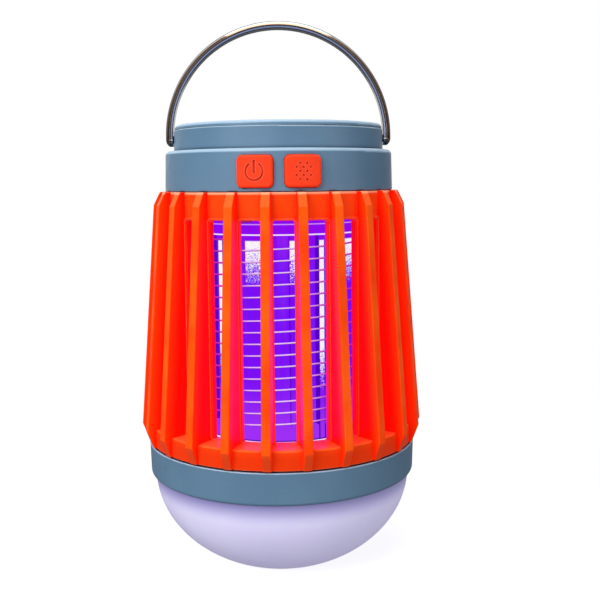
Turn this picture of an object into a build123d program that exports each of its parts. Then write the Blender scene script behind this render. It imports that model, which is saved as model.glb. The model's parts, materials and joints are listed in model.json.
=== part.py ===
"""Rechargeable camping-lantern bug zapper, modelled piece by piece.

The origin is the centre of the flat foot under the dome. +Z points up the axis, the two buttons face
-Y, and the handle's two pegs lie along X. An azimuth is measured from the front (-Y) towards +X.
"""
from build123d import *
from math import acos, cos, degrees, radians, sin, sqrt
import os

# ---- driving dimensions, millimetres and degrees ----
# frosted dome: part of an ellipse, cut off flat by the foot
DOME_R = 41.3
DOME_DROP = 32.13
DOME_WALL = 1.8
FOOT_R = 19.0

# heights of the three stacked casings
RING_H = 10.35
CAGE_H = 79.55
LEDGE_H = 12.5
CAP_H = 19.0

# radii of the casings
RING_R = 43.0
CAGE_TOP_R = 36.0
CAGE_LOW_R = 36.4
BAND_R = 42.5
RIB_MAX_R = 45.2
CAP_R = 35.98
UPPER_R = 32.8

# cage
RIB_COUNT = 23
RIB_T = 2.7
WINDOW_W = 6.2
WINDOW_RIM = 0.3
CAGE_WALL = 2.2
CAGE_TURN = 1.95

# killing grid
GRID_R = 26.45
WIRE_R = 0.28
WIRE_STEP = 3.53
WIRE_LINES = 16
POST_GROUPS = 5
WIDE_POST_ANGLE = 10.8
WIDE_POST_AZIMUTHS = (-17.7, 11.8)
SLIM_POST_ANGLE = 4.3
SLIM_POST_AZIMUTH = 28.5

# handle
PIVOT_H = 16.3
PEG_R = 1.2
BOW_RISE = 0.8
STRAP_W = 4.4
STRAP_FLAT_R = 33.2
STRAP_T = 2.45
STRAP_EDGE_T = 1.2

# buttons
BUTTON_AZIMUTH = 10.9
BUTTON_W = 10.5
BUTTON_TALL = 9.2
BUTTON_R = 37.1
BUTTON_H = 5.85

# fits
SCREW_SLOP = 0.25
RUN_GAP = 0.05

# ---- heights worked out from the driving dimensions ----
RING_Z = DOME_DROP * sqrt(1 - (FOOT_R / DOME_R) ** 2)
CAGE_Z = RING_Z + RING_H
CAP_Z = CAGE_Z + CAGE_H
LEDGE_Z = CAP_Z + LEDGE_H
TOP_Z = CAP_Z + CAP_H
PIVOT_Z = CAP_Z + PIVOT_H
BUTTON_Z = CAP_Z + BUTTON_H
LINTEL_Z = CAP_Z - 8.15
SILL_Z = CAP_Z - 73.1
SHELF_Z = CAP_Z - 73.45
BAND_LOW_Z = CAGE_Z + 0.25
WIRE_TOP_Z = CAP_Z - 14.0
WIRE_LOW_Z = WIRE_TOP_Z - WIRE_STEP * WIRE_LINES

# ---- levels and sizes inside ----
DECK_Z = CAGE_Z - 0.25
DECK_T = 2.0
SHOULDER_Z = DECK_Z - DECK_T - 2.4
NECK_Z = SHOULDER_Z - 0.8
LAMP_BOARD_Z = DECK_Z - DECK_T - 1.2
PLATE_T = 1.6
FLANGE_Z = TOP_Z - 1.2
FLANGE_T = 2.0
OPENING_R = 24.0
SEAL_T = 0.6
COVER_R = 31.0
LIP_R = 32.6
LIP_T = 1.4
CAP_WALL_R = 33.7
UPPER_WALL_R = 30.2
PAN_FLOOR_Z = CAP_Z - 5.4
PAN_SIZE = (56.0, 21.4)
PAN_Y = 2.0
FRAME_PLATE_Z = WIRE_TOP_Z + 3.0
FRAME_PLATE_T = 1.7
HEAD_COLLAR_Z = WIRE_TOP_Z + 1.1
COLLAR_R = GRID_R - WIRE_R - 0.05
FOOT_COLLAR = 5.4
TUBE_R = 22.4
TUBE_WALL = 1.8
LED_POST = 14.0
CASE_SCREW_R = 29.5
BASE_SCREW_R = 37.0
COVER_SCREW_R = 26.6
COVER_SCREW_ANGLE = 30.0
BOARD_Y = -25.2
BOARD_T = 1.2
SWITCH_X = 6.5
PORT_Z = CAP_Z + 6.2
PORT_FLOOR_Y = 34.2
HINGE_Y = 35.0
HINGE_Z = CAP_Z + 2.6


def radial_plane(azimuth, radius, height):
    """A plane facing outwards: its x runs round to the right and its y runs up."""
    turn = radians(azimuth)
    return Plane(
        origin=(radius * sin(turn), -radius * cos(turn), height),
        x_dir=(cos(turn), sin(turn), 0),
        z_dir=(sin(turn), -cos(turn), 0),
    )


def rim(piece, radius, height):
    """The round edge of a turned piece that is nearest to a radius and a height."""
    circles = piece.edges().filter_by(GeomType.CIRCLE)
    return circles.sort_by(lambda e: abs(e.radius - radius) + abs(e.arc_center.Z - height))[0]


def ring(inner, outer, low, high):
    """A plain ring or, with no inner radius, a plain disc."""
    with BuildPart() as piece:
        with BuildSketch(Plane.XY.offset(low)):
            Circle(outer)
            if inner:
                Circle(inner, mode=Mode.SUBTRACT)
        extrude(amount=high - low)
    return piece


def screws(places, seat_z, head_r, head_t, shank_r, shank_l, up=True):
    """Cross-head screws with their heads under (or over) a seat, driven up (or down) into it."""
    way = 1 if up else -1
    with BuildPart() as group:
        with BuildSketch(Plane.XY.offset(seat_z)):
            with Locations(*places):
                Circle(head_r)
        extrude(amount=-way * head_t)
        faces = group.faces().sort_by(Axis.Z)
        crowns = faces[: len(places)] if up else faces[-len(places) :]
        fillet(crowns.edges(), head_t * 0.35)
        with BuildSketch(Plane.XY.offset(seat_z)):
            with Locations(*places):
                Circle(shank_r)
        extrude(amount=way * shank_l)
        with BuildSketch(Plane.XY.offset(seat_z - way * head_t)):
            with Locations(*places):
                Rectangle(head_r * 1.1, head_r * 0.28)
                Rectangle(head_r * 0.28, head_r * 1.1)
        extrude(amount=way * head_t * 0.55, mode=Mode.SUBTRACT)
    return group


def polar_places(radius, count, first):
    """Points on a circle, as (x, y); the first is at an angle from +X."""
    step = 360 / count
    return [
        (radius * cos(radians(first + step * i)), radius * sin(radians(first + step * i)))
        for i in range(count)
    ]


CASE_SCREWS = polar_places(CASE_SCREW_R, 4, 45)
BASE_SCREWS = polar_places(BASE_SCREW_R, 4, 45)
COVER_SCREWS = [(sx * COVER_SCREW_R * cos(radians(COVER_SCREW_ANGLE)),
                 sy * COVER_SCREW_R * sin(radians(COVER_SCREW_ANGLE)))
                for sx in (-1, 1) for sy in (-1, 1)]
GRID_SCREWS = [(-15, -4), (15, -4), (-15, 8), (15, 8)]
CHARGE_SCREWS = [(-9.5, 27), (9.5, 27)]
LAMP_SCREWS = polar_places(28.0, 3, 90)
LEAD_HOLES = [(10.6, 16), (-10.6, -16)]
LEAD_ANGLE = degrees(acos(10.6 / sqrt(10.6 ** 2 + 16 ** 2)))


# ---- top cap ----
def make_cap_shell():
    seat = CAP_Z + 0.15
    ceiling = LEDGE_Z - 1.2
    with BuildPart() as cap:
        with BuildSketch(Plane.XZ):
            with BuildLine():
                Polyline(
                    (0, seat), (CAP_R, seat), (CAP_R - 0.33, LEDGE_Z), (UPPER_R + 0.2, LEDGE_Z),
                    (UPPER_R, TOP_Z), (0, TOP_Z), close=True,
                )
            make_face()
        revolve(axis=Axis.Z)
        fillet(rim(cap, CAP_R - 0.33, LEDGE_Z), 1.3)
        fillet(rim(cap, UPPER_R, TOP_Z), 0.4)
        fillet(rim(cap, CAP_R, seat), 0.3)
        # the hollow: a wide lower room and a narrower upper one
        with BuildSketch(Plane.XZ):
            with BuildLine():
                Polyline(
                    (0, CAP_Z), (CAP_WALL_R, CAP_Z), (CAP_WALL_R, ceiling), (UPPER_WALL_R, ceiling),
                    (UPPER_WALL_R, FLANGE_Z - FLANGE_T), (0, FLANGE_Z - FLANGE_T), close=True,
                )
            make_face()
        revolve(axis=Axis.Z, mode=Mode.SUBTRACT)
        # screw posts, peg bosses and the pad behind the charging port
        with BuildSketch(Plane.XY.offset(CAP_Z + PLATE_T)):
            with Locations(*CASE_SCREWS):
                Circle(2.8)
        extrude(amount=FLANGE_Z - CAP_Z - PLATE_T - 0.5)
        for side in (-1, 1):
            with BuildSketch(Plane.YZ.offset(side * 27.6)):
                with Locations((0, PIVOT_Z - 0.6)):
                    Rectangle(6.4, 4.6)
            extrude(amount=side * 3.6)
        with BuildSketch(radial_plane(180, 32.4, CAP_Z + 6.65)):
            Rectangle(19, 9.7)
        extrude(amount=1.9)
        # the recess and opening for the top cover
        with BuildSketch(Plane.XY.offset(FLANGE_Z)):
            Circle(COVER_R + 0.2)
        extrude(amount=5, mode=Mode.SUBTRACT)
        with BuildSketch(Plane.XY.offset(FLANGE_Z - FLANGE_T - 1)):
            Circle(OPENING_R)
            with Locations(*COVER_SCREWS):
                Circle(0.95 + SCREW_SLOP)
        extrude(amount=5, mode=Mode.SUBTRACT)
        # pilot holes in the posts, and the peg holes
        with BuildSketch(Plane.XY.offset(CAP_Z)):
            with Locations(*CASE_SCREWS):
                Circle(1.22)
        extrude(amount=9, mode=Mode.SUBTRACT)
        for side in (-1, 1):
            with BuildSketch(Plane.YZ.offset(side * 27.9)):
                with Locations((0, PIVOT_Z)):
                    Circle(PEG_R + RUN_GAP)
            extrude(amount=side * 8, mode=Mode.SUBTRACT)
        # two button windows at the front
        for side in (-1, 1):
            with BuildSketch(radial_plane(side * BUTTON_AZIMUTH, 31, BUTTON_Z)):
                RectangleRounded(BUTTON_W + 0.4, BUTTON_TALL + 0.4, 1.8)
            extrude(amount=6, mode=Mode.SUBTRACT)
        # the charging port: a recess for the cover, its pin holes and the plug's opening
        with BuildSketch(radial_plane(180, PORT_FLOOR_Y, CAP_Z + 5.85)):
            Rectangle(14.8, 8.9)
        extrude(amount=3, mode=Mode.SUBTRACT)
        with BuildSketch(radial_plane(180, 31, PORT_Z)):
            SlotOverall(9.8, 3.8)
        extrude(amount=5, mode=Mode.SUBTRACT)
        with BuildSketch(Plane.YZ.offset(-8.3)):
            with Locations((HINGE_Y, HINGE_Z)):
                Circle(0.5)
        extrude(amount=16.6, mode=Mode.SUBTRACT)
        # a finger notch over the port cover
        with BuildSketch(radial_plane(180, PORT_FLOOR_Y + 0.6, CAP_Z + 10.3)):
            Circle(2.2)
        extrude(amount=3, mode=Mode.SUBTRACT)
    return cap


def make_top_cover():
    """A plug with a rounded lip that covers the cap's rim."""
    low = FLANGE_Z + SEAL_T
    lip_low = TOP_Z + 0.1
    with BuildPart() as cover:
        with BuildSketch(Plane.XY.offset(low)):
            Circle(COVER_R)
        extrude(amount=lip_low - low)
        with BuildSketch(Plane.XY.offset(lip_low)):
            Circle(LIP_R)
        extrude(amount=LIP_T)
        fillet(rim(cover, LIP_R, lip_low + LIP_T), 1.1)
        with BuildSketch(Plane.XY.offset(low)):
            Circle(OPENING_R - 0.3)
            Circle(OPENING_R - 2.0, mode=Mode.SUBTRACT)
        extrude(amount=-2.8)
        with BuildSketch(Plane.XY.offset(low)):
            with Locations(*COVER_SCREWS):
                Circle(0.97)
        extrude(amount=1.5, mode=Mode.SUBTRACT)
    return cover


def make_cover_seal():
    with BuildPart() as seal:
        with BuildSketch(Plane.XY.offset(FLANGE_Z)):
            Circle(COVER_R - 0.3)
            Circle(OPENING_R + 0.3, mode=Mode.SUBTRACT)
            with Locations(*COVER_SCREWS):
                Circle(1.4, mode=Mode.SUBTRACT)
        extrude(amount=SEAL_T)
    return seal


# ---- bail handle ----
def make_bail_handle():
    bow_z = PIVOT_Z + BOW_RISE
    half = STRAP_W / 2
    crown = (STRAP_FLAT_R + STRAP_T, 0)
    corner_x = STRAP_FLAT_R + STRAP_EDGE_T
    with BuildPart() as handle:
        with BuildLine(Plane.XZ) as bow:
            Line((STRAP_FLAT_R, PIVOT_Z), (STRAP_FLAT_R, bow_z))
            ThreePointArc((STRAP_FLAT_R, bow_z), (0, bow_z + STRAP_FLAT_R), (-STRAP_FLAT_R, bow_z))
            Line((-STRAP_FLAT_R, bow_z), (-STRAP_FLAT_R, PIVOT_Z))
        # D section: flat on the inside, crowned on the outside
        with BuildSketch(Plane.XY.offset(PIVOT_Z)):
            with BuildLine():
                Polyline((corner_x, -half), (STRAP_FLAT_R, -half), (STRAP_FLAT_R, half), (corner_x, half))
                ThreePointArc((corner_x, half), crown, (corner_x, -half))
            make_face()
        sweep(path=bow.wires()[0])
        # rounded, crowned ends about the pegs
        for side in (-1, 1):
            with BuildSketch(Plane.XY.offset(PIVOT_Z)):
                with BuildLine():
                    Polyline(
                        (side * crown[0], 0), (side * STRAP_FLAT_R, 0), (side * STRAP_FLAT_R, -half),
                        (side * corner_x, -half),
                    )
                    RadiusArc((side * corner_x, -half), (side * crown[0], 0), -side * crown_radius())
                make_face()
            revolve(axis=Axis((0, 0, PIVOT_Z), (1, 0, 0)), revolution_arc=180)
        # pegs turned inwards into the cap
        for side in (-1, 1):
            with BuildSketch(Plane.YZ.offset(side * 28.2)):
                with Locations((0, PIVOT_Z)):
                    Circle(PEG_R)
            extrude(amount=side * (STRAP_FLAT_R - 28.2 + 0.4))
    return handle


def crown_radius():
    """Radius of the strap's crowned face, from its width and its rise."""
    half = STRAP_W / 2
    rise = STRAP_T - STRAP_EDGE_T
    return (half * half + rise * rise) / (2 * rise)


# ---- buttons and the switches behind them ----
def power_mark():
    """An open ring with a stroke in its gap."""
    with BuildSketch(mode=Mode.PRIVATE) as mark:
        Circle(2.75)
        Circle(2.2, mode=Mode.SUBTRACT)
        with Locations((0, 2.6)):
            Rectangle(2.6, 3.0, mode=Mode.SUBTRACT)
        with Locations((0, 1.35)):
            SlotOverall(3.9, 0.75, rotation=90)
    return mark.sketch


def dimple_mark():
    """A round patch of twelve small diamonds in staggered rows."""
    step_x = 1.02
    step_y = 1.15
    reach = 2.6
    with BuildSketch(mode=Mode.PRIVATE) as mark:
        for row in range(-2, 3):
            for column in range(-2, 3):
                x = column * step_x
                y = row * step_y
                if (row + column) % 2 and x * x + y * y < reach * reach:
                    with Locations((x, y)):
                        Rectangle(0.7, 0.7, rotation=45)
    return mark.sketch


def make_button(side, mark):
    azimuth = side * BUTTON_AZIMUTH
    with BuildPart() as flange:
        with BuildSketch(radial_plane(azimuth, 30, BUTTON_Z + 0.6)):
            RectangleRounded(BUTTON_W + 1.0, 9.4, 1.6)
        extrude(amount=6)
        with BuildSketch(Plane.XY.offset(CAP_Z)):
            Circle(CAP_WALL_R - 0.1)
            Circle(32.2, mode=Mode.SUBTRACT)
        extrude(amount=LEDGE_H, mode=Mode.INTERSECT)
    with BuildPart() as button:
        with BuildSketch(radial_plane(azimuth, 31, BUTTON_Z)):
            RectangleRounded(BUTTON_W, BUTTON_TALL, 1.6)
        extrude(amount=8)
        with BuildSketch(Plane.XY.offset(CAP_Z)):
            Circle(BUTTON_R)
            Circle(CAP_WALL_R - 0.15, mode=Mode.SUBTRACT)
        extrude(amount=LEDGE_H, mode=Mode.INTERSECT)
        front = button.faces().filter_by(GeomType.CYLINDER).sort_by(
            lambda f: Vector(f.center().X, f.center().Y).length
        )[-1]
        fillet(front.edges(), 0.75)
        with BuildSketch(radial_plane(azimuth, BUTTON_R - 0.45, BUTTON_Z)):
            add(mark)
        extrude(amount=2, mode=Mode.SUBTRACT)
        add(flange.part)
        # the stem, straight back to the switch
        with BuildSketch(Plane.XZ.offset(29.35)):
            with Locations((side * SWITCH_X, BUTTON_Z)):
                Circle(2.0)
        extrude(amount=3.0)
    return button


def make_plunger(side):
    with BuildPart() as plunger:
        with BuildSketch(Plane.XZ.offset(27.75)):
            with Locations((side * SWITCH_X, BUTTON_Z)):
                Circle(1.7)
        extrude(amount=1.6)
    return plunger


def make_tact_switches():
    with BuildPart() as group:
        with BuildSketch(Plane.XZ.offset(-BOARD_Y)):
            with Locations((-SWITCH_X, BUTTON_Z), (SWITCH_X, BUTTON_Z)):
                RectangleRounded(6.0, 6.0, 0.4)
        extrude(amount=3.0)
        with BuildSketch(Plane.XZ.offset(-BOARD_Y + 3.0)):
            with Locations((-SWITCH_X, BUTTON_Z), (SWITCH_X, BUTTON_Z)):
                Circle(1.7 + RUN_GAP)
        extrude(amount=-1.2, mode=Mode.SUBTRACT)
    return group


# ---- electronics in the cap ----
def make_control_board():
    with BuildPart() as board:
        with BuildSketch(Plane.XZ.offset(-BOARD_Y - BOARD_T)):
            with Locations((0, CAP_Z + 8.3)):
                Rectangle(32.8, 12.0)
        extrude(amount=BOARD_T)
    return board


def make_control_chips():
    rear = -BOARD_Y - BOARD_T
    with BuildPart() as chips:
        with BuildSketch(Plane.XZ.offset(rear)):
            with Locations((-4, CAP_Z + 8.5)):
                Rectangle(5.0, 4.0)
            with Locations((5, CAP_Z + 10.2)):
                Rectangle(3.0, 1.8)
            with Locations((11, CAP_Z + 8)):
                Rectangle(4.5, 4.5)
            with Locations((-11, CAP_Z + 7), (-11, CAP_Z + 10)):
                Rectangle(2.0, 1.3)
        extrude(amount=-1.6)
    return chips


def make_charge_board():
    with BuildPart() as board:
        with BuildSketch(Plane.XY.offset(PORT_Z - 1.6 - BOARD_T)):
            with Locations((0, 22.3)):
                Rectangle(24, 17)
            with Locations(*CHARGE_SCREWS):
                Circle(1.0 + SCREW_SLOP, mode=Mode.SUBTRACT)
        extrude(amount=BOARD_T)
    return board


def make_usb_socket():
    with BuildPart() as socket:
        with BuildSketch(radial_plane(180, 24.9, PORT_Z)):
            SlotOverall(8.94, 3.2)
        extrude(amount=7.3)
        with BuildSketch(radial_plane(180, 26.4, PORT_Z)):
            SlotOverall(8.3, 2.56)
            SlotOverall(6.7, 0.7, mode=Mode.SUBTRACT)
        extrude(amount=6, mode=Mode.SUBTRACT)
    return socket


def make_hv_module():
    with BuildPart() as module:
        with BuildSketch(Plane.XY.offset(PORT_Z - 1.6)):
            with Locations((0, 18.9)):
                Rectangle(17, 9.4)
        extrude(amount=8.4)
        fillet(module.edges().filter_by(Axis.Z), 0.8)
    return module


def make_hv_leads():
    """One lead rises to the charging board, the other rises and turns to the control board."""
    low = FRAME_PLATE_Z + FRAME_PLATE_T + 0.5
    bend_z = CAP_Z + 4.4
    (live_x, live_y), (return_x, return_y) = LEAD_HOLES
    with BuildPart() as leads:
        with BuildSketch(Plane.XY.offset(low)):
            with Locations((live_x, live_y)):
                Circle(0.6)
        extrude(amount=PORT_Z - 1.6 - BOARD_T - low)
        with BuildLine() as path:
            FilletPolyline(
                (return_x, return_y, low), (return_x, return_y, bend_z),
                (return_x, BOARD_Y + BOARD_T, bend_z), radius=1.2,
            )
        with BuildSketch(Plane.XY.offset(low)):
            with Locations((return_x, return_y)):
                Circle(0.6)
        sweep(path=path.line)
    return leads


def make_battery():
    length = 50.0
    radius = 9.15
    centre = PAN_FLOOR_Z + 1.6 + radius
    with BuildPart() as cell:
        with BuildSketch(Plane.YZ.offset(-length / 2)):
            with Locations((PAN_Y, centre)):
                Circle(radius)
        extrude(amount=length)
        fillet(cell.edges().filter_by(GeomType.CIRCLE), 0.7)
        with BuildSketch(Plane.YZ.offset(length / 2)):
            with Locations((PAN_Y, centre)):
                Circle(3.0)
        extrude(amount=0.9)
    return cell


def make_battery_contacts():
    with BuildPart() as contacts:
        for side, inner in ((-1, 25.05), (1, 25.95)):
            with BuildSketch(Plane.YZ.offset(side * inner)):
                with Locations((PAN_Y, PAN_FLOOR_Z + 10.4)):
                    Rectangle(9, 12)
            extrude(amount=side * 0.4)
    return contacts


def make_usb_cover():
    low = HINGE_Z
    with BuildPart() as cover:
        # the flap, rounded to follow the cap
        with BuildSketch(radial_plane(180, PORT_FLOOR_Y + 0.1, CAP_Z + 5.95)):
            RectangleRounded(14.2, 8.0, 0.8)
        extrude(amount=3)
        with BuildSketch(Plane.XY.offset(CAP_Z)):
            Circle(CAP_R - 0.15)
        extrude(amount=LEDGE_H, mode=Mode.INTERSECT)
        # below the hinge line the flap ends in a round knuckle
        with BuildSketch(Plane.YZ.offset(-8)):
            with Locations((HINGE_Y, low - 2)):
                Rectangle(4, 4)
        extrude(amount=16, mode=Mode.SUBTRACT)
        with BuildSketch(Plane.YZ.offset(-7.0)):
            with Locations((HINGE_Y, low)):
                Circle(0.78)
        extrude(amount=14.0)
        # the plug that closes the opening, and the pin's bore
        with BuildSketch(radial_plane(180, PORT_FLOOR_Y - 0.9, PORT_Z)):
            SlotOverall(8.8, 2.6)
        extrude(amount=1.4)
        with BuildSketch(Plane.YZ.offset(-8)):
            with Locations((HINGE_Y, low)):
                Circle(0.4 + RUN_GAP)
        extrude(amount=16, mode=Mode.SUBTRACT)
    return cover


def make_usb_cover_pin():
    with BuildPart() as pin:
        with BuildSketch(Plane.YZ.offset(-8.2)):
            with Locations((HINGE_Y, HINGE_Z)):
                Circle(0.4)
        extrude(amount=16.4)
    return pin


# ---- base plate that closes the cap ----
def make_cap_base():
    pan_x, pan_y = PAN_SIZE
    wall = 1.2
    with BuildPart() as base:
        with BuildSketch(Plane.XY.offset(CAP_Z)):
            Circle(CAP_WALL_R - 0.2)
        extrude(amount=PLATE_T)
        # cut back in front, where the buttons travel
        with BuildSketch(Plane.XY.offset(CAP_Z)):
            with Locations((0, -CAP_WALL_R)):
                Rectangle(25.6, 12)
            Circle(CAP_WALL_R - 1.1, mode=Mode.SUBTRACT)
        extrude(amount=PLATE_T, mode=Mode.SUBTRACT)
        # the battery pan hangs below the plate
        with BuildSketch(Plane.XY.offset(PAN_FLOOR_Z)):
            with Locations((0, PAN_Y)):
                RectangleRounded(pan_x, pan_y, 2.0)
        extrude(amount=CAP_Z - PAN_FLOOR_Z + 0.5)
        with BuildSketch(Plane.XY.offset(PAN_FLOOR_Z + 1.4)):
            with Locations((0, PAN_Y)):
                RectangleRounded(pan_x - 2 * wall, pan_y - 2 * wall, 1.0)
        extrude(amount=10, mode=Mode.SUBTRACT)
        # grooved uprights for the control board, and bosses for the charging board
        with BuildSketch(Plane.XY.offset(CAP_Z + PLATE_T)):
            with Locations((-16.2, BOARD_Y + BOARD_T / 2), (16.2, BOARD_Y + BOARD_T / 2)):
                Rectangle(2.4, 3.6)
        extrude(amount=8.4)
        with BuildSketch(Plane.XY.offset(CAP_Z + PLATE_T)):
            with Locations(*CHARGE_SCREWS):
                Circle(2.1)
        extrude(amount=PORT_Z - 1.6 - BOARD_T - CAP_Z - PLATE_T)
        with BuildSketch(Plane.XY.offset(CAP_Z + PLATE_T + 0.6)):
            with Locations((0, BOARD_Y + BOARD_T / 2)):
                Rectangle(33.0, BOARD_T + 0.1)
        extrude(amount=12, mode=Mode.SUBTRACT)
        # holes: case screws, lamp leads, high-voltage leads, grid screws and charging board screws
        with BuildSketch(Plane.XY.offset(CAP_Z - 1)):
            with Locations(*CASE_SCREWS):
                Circle(1.2 + SCREW_SLOP)
            with Locations((0, -14.0)):
                SlotOverall(6, 2.6)
            with Locations(*LEAD_HOLES):
                Circle(1.0)
        extrude(amount=PLATE_T + 2, mode=Mode.SUBTRACT)
        with BuildSketch(Plane.XY.offset(PAN_FLOOR_Z - 1)):
            with Locations(*GRID_SCREWS):
                Circle(1.02)
        extrude(amount=4, mode=Mode.SUBTRACT)
        with BuildSketch(Plane.XY.offset(CAP_Z + 0.3)):
            with Locations(*CHARGE_SCREWS):
                Circle(0.92)
        extrude(amount=6, mode=Mode.SUBTRACT)
    return base


# ---- ribbed cage ----
def cage_wall_radius(height):
    """Outer radius of the sloping wall between the ribs."""
    share = (height - SILL_Z) / (CAP_Z - SILL_Z)
    return CAGE_LOW_R + (CAGE_TOP_R - CAGE_LOW_R) * share


def make_rib():
    """One radial rib, standing on the +X side."""
    with BuildPart() as rib:
        with BuildSketch(Plane.XZ):
            with BuildLine():
                Polyline(
                    (CAGE_TOP_R - 1.2, CAP_Z), (CAGE_TOP_R + 1.8, CAP_Z), (CAGE_TOP_R + 3.8, CAP_Z - 4.1),
                    (RIB_MAX_R, CAP_Z - 74.0), (RIB_MAX_R - 2.0, BAND_LOW_Z),
                    (BAND_R - 1.5, BAND_LOW_Z), (BAND_R - 1.5, SHELF_Z - 1.0),
                    (CAGE_LOW_R - 1.2, SHELF_Z - 1.0), close=True,
                )
            make_face()
        extrude(amount=RIB_T / 2, both=True)
        outer = rib.edges().filter_by(Axis.Y, reverse=True).filter_by(
            lambda e: (e @ 0.5).X > CAGE_TOP_R + 2.2
        )
        fillet(outer, 0.3)
    return rib


def window_plane():
    """The sloping plane just over the wall in the middle of a window on the +X side."""
    middle = (SILL_Z + LINTEL_Z) / 2
    slope = (CAGE_LOW_R - CAGE_TOP_R) / (CAP_Z - SILL_Z)
    return Plane(origin=(cage_wall_radius(middle), 0, middle), x_dir=(0, 1, 0), z_dir=(1, 0, slope))


def window_outline(grow, corner):
    """A window's outline, larger by so much at its sides and top but standing on the same sill."""
    tall = LINTEL_Z - SILL_Z
    with BuildSketch(mode=Mode.PRIVATE) as outline:
        with Locations((0, grow / 2)):
            RectangleRounded(WINDOW_W + 2 * grow, tall + grow, corner)
    return outline.sketch


def make_window_rim():
    """The raised frame round one window, with its outer edge rounded."""
    with BuildPart() as raised:
        with BuildSketch(window_plane()):
            add(window_outline(0.7, 1.0))
        extrude(amount=WINDOW_RIM)
        fillet(raised.faces().filter_by(window_plane()).sort_by(Axis.X)[-1].edges(), 0.15)
        with BuildSketch(window_plane()):
            add(window_outline(0.7, 1.0))
        extrude(amount=-1.2)
    return raised


def make_window():
    """The cutter for one window: a straight slot with a bevelled mouth."""
    with BuildPart() as window:
        with BuildSketch(window_plane().offset(WINDOW_RIM + 0.2)):
            add(window_outline(0, 0.7))
        extrude(amount=-7)
        with BuildSketch(window_plane().offset(WINDOW_RIM + 0.01)):
            add(window_outline(0.35, 0.9))
        extrude(amount=-0.6, taper=30)
    return window


def make_cage():
    rib = make_rib()
    window_rim = make_window_rim()
    window = make_window()
    rib_start = -90 + CAGE_TURN + 180 / RIB_COUNT
    with BuildPart() as cage:
        with BuildSketch(Plane.XZ):
            with BuildLine():
                Polyline(
                    (BAND_R, BAND_LOW_Z), (BAND_R, SHELF_Z), (CAGE_LOW_R, SILL_Z - 0.1), (CAGE_TOP_R, CAP_Z),
                    (CAGE_TOP_R - CAGE_WALL, CAP_Z), (CAGE_LOW_R - CAGE_WALL, SILL_Z - 1.9),
                    (BAND_R - CAGE_WALL, SHELF_Z - 1.8), (BAND_R - CAGE_WALL, BAND_LOW_Z), close=True,
                )
            make_face()
        revolve(axis=Axis.Z)
        fillet(rim(cage, BAND_R, SHELF_Z), 0.6)
        fillet(rim(cage, CAGE_TOP_R, CAP_Z), 0.35)
        with PolarLocations(0, RIB_COUNT, start_angle=-90 + CAGE_TURN):
            add(window_rim.part)
            add(window.part, mode=Mode.SUBTRACT)
        with PolarLocations(0, RIB_COUNT, start_angle=rib_start):
            add(rib.part)
        # ears for the case screws above, and posts for the base screws below
        with BuildSketch(Plane.XY.offset(CAP_Z - 4)):
            with PolarLocations(CASE_SCREW_R + 1.5, 4, start_angle=45):
                SlotOverall(9.4, 6.2)
        extrude(amount=4)
        with BuildSketch(Plane.XY.offset(DECK_Z)):
            with Locations(*BASE_SCREWS):
                Circle(3.3)
        extrude(amount=6.2)
        with BuildSketch(Plane.XY.offset(CAP_Z - 5)):
            with Locations(*CASE_SCREWS):
                Circle(1.2 + SCREW_SLOP)
        extrude(amount=6, mode=Mode.SUBTRACT)
        with BuildSketch(Plane.XY.offset(DECK_Z - 1)):
            with Locations(*BASE_SCREWS):
                Circle(1.22)
        extrude(amount=6.2, mode=Mode.SUBTRACT)
    return cage


# ---- killing grid and light ----
def post_outlines():
    """Plan of the grid frame's posts: slices of a ring, two wide ones and a slim one in every group."""
    reach = COLLAR_R * 1.2
    with BuildSketch(mode=Mode.PRIVATE) as slices:
        for azimuth, angle in (
            (WIDE_POST_AZIMUTHS[0], WIDE_POST_ANGLE),
            (WIDE_POST_AZIMUTHS[1], WIDE_POST_ANGLE),
            (SLIM_POST_AZIMUTH, SLIM_POST_ANGLE),
        ):
            half = radians(angle / 2)
            with PolarLocations(0, POST_GROUPS, start_angle=azimuth - 90):
                Polygon(
                    (0, 0), (reach * cos(half), -reach * sin(half)), (reach * cos(half), reach * sin(half)),
                    align=None,
                )
    with BuildSketch(mode=Mode.PRIVATE) as posts:
        Circle(COLLAR_R)
        Circle(COLLAR_R - 2.4, mode=Mode.SUBTRACT)
        add(slices.sketch, mode=Mode.INTERSECT)
    return posts.sketch


def make_grid_frame():
    low = WIRE_LOW_Z - FOOT_COLLAR
    with BuildPart() as frame:
        # the plate over the top and the two end collars
        with BuildSketch(Plane.XY.offset(FRAME_PLATE_Z)):
            Circle(COLLAR_R)
            Circle(5.0, mode=Mode.SUBTRACT)
        extrude(amount=FRAME_PLATE_T)
        with BuildSketch(Plane.XY.offset(HEAD_COLLAR_Z)):
            Circle(COLLAR_R)
            Circle(TUBE_R + 0.1, mode=Mode.SUBTRACT)
        extrude(amount=FRAME_PLATE_Z - HEAD_COLLAR_Z)
        with BuildSketch(Plane.XY.offset(low)):
            Circle(COLLAR_R)
            Circle(TUBE_R + 0.1, mode=Mode.SUBTRACT)
        extrude(amount=WIRE_LOW_Z - 0.2 - low)
        # upright posts, which carry the wires
        with BuildSketch(Plane.XY.offset(low)):
            add(post_outlines())
        extrude(amount=FRAME_PLATE_Z - low)
        # bosses up to the battery pan, drilled for their screws
        with BuildSketch(Plane.XY.offset(FRAME_PLATE_Z + FRAME_PLATE_T)):
            with Locations(*GRID_SCREWS):
                Circle(2.8)
        extrude(amount=PAN_FLOOR_Z - FRAME_PLATE_Z - FRAME_PLATE_T)
        with BuildSketch(Plane.XY.offset(FRAME_PLATE_Z - 1)):
            with Locations(*GRID_SCREWS):
                Circle(1.0 + SCREW_SLOP)
        extrude(amount=PAN_FLOOR_Z - FRAME_PLATE_Z + 2, mode=Mode.SUBTRACT)
    return frame


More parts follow.
